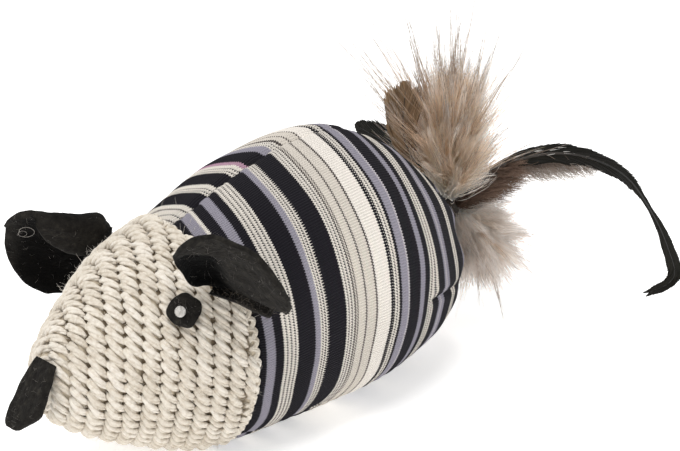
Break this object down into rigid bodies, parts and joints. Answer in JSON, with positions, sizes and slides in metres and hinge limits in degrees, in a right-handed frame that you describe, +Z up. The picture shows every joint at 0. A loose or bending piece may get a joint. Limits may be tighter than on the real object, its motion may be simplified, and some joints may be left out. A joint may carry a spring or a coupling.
{
  "type": "catnip mouse",
  "caption": "Stuffed cat toy mouse with a crocheted face, striped jersey body, felt ears, nose and eyes, and a tail of fur and feathers that bends at its bound root.",
  "frame": {"origin": "middle of the flat that the belly rests on", "axes": "+Z up, +X towards the tail with the nose at -X, -Y the mouse's left side"},
  "size_m": [0.2243, 0.0887, 0.0971],
  "materials": {
    "yarn": "chunky cream wool crochet in slanted rope-like rows",
    "jersey": "fine cotton jersey in black, cream, ecru and lavender stripes",
    "fill": "loose fibre wadding",
    "sachet": "thin cotton muslin",
    "herb": "dried crumbled leaf",
    "felt": "black wool felt with light lint",
    "knot": "white cotton thread, knotted",
    "thread": "dark wound thread",
    "fur": "taupe rabbit-like fur with darker tips",
    "plume": "black feather with a dull green sheen",
    "brown_plume": "brown feather, soft edges"
  },
  "bodies": {
    "body": {"face_cone": "yarn", "side_panel_left": "jersey", "side_panel_right": "jersey", "base_panel": "jersey", "head_stuffing": "fill", "body_stuffing": "fill", "sachet_front": "sachet", "sachet_back": "sachet", "catnip_herb": "herb", "eye_left": "felt", "eye_knot_left": "knot", "eye_right": "felt", "eye_knot_right": "knot"},
    "ear_left": {"ear_left": "felt"},
    "ear_right": {"ear_right": "felt"},
    "nose": {"nose_tab": "felt"},
    "tail": {"tail_binding": "thread", "fur_tuft_upper": "fur", "fur_tuft_lower": "fur", "dark_feather": "plume", "brown_feather": "brown_plume"},
    "feather": {"tail_feather": "plume"}
  },
  "joints": [
    {"name": "ear_left_bend", "type": "hinge", "parent": "body", "child": "ear_left", "pos_m": [-0.02641, -0.02551, 0.04854], "axis": [0.6766, -0.5426, -0.4977], "range_deg": [-20, 25], "stiffness_Nm_per_rad": 0.002},
    {"name": "ear_right_bend", "type": "hinge", "parent": "body", "child": "ear_right", "pos_m": [-0.02656, 0.02792, 0.04505], "axis": [-0.1343, -0.4322, 0.8917], "range_deg": [-25, 15], "stiffness_Nm_per_rad": 0.002},
    {"name": "nose_bend", "type": "hinge", "parent": "body", "child": "nose", "pos_m": [-0.06793, -0.002, 0.03653], "axis": [0, 1, 0], "range_deg": [-8, 30], "stiffness_Nm_per_rad": 0.0008},
    {"name": "tail_sway", "type": "hinge", "parent": "body", "child": "tail", "pos_m": [0.068, 0, 0.036], "axis": [-0.5, 0, 0.866], "range_deg": [-15, 15], "stiffness_Nm_per_rad": 0.006},
    {"name": "tail_feather_lift", "type": "hinge", "parent": "tail", "child": "feather", "pos_m": [0.07618, 0, 0.04073], "axis": [-0.4384, -0.8988, 0], "range_deg": [-12, 20], "stiffness_Nm_per_rad": 0.002}
  ]
}
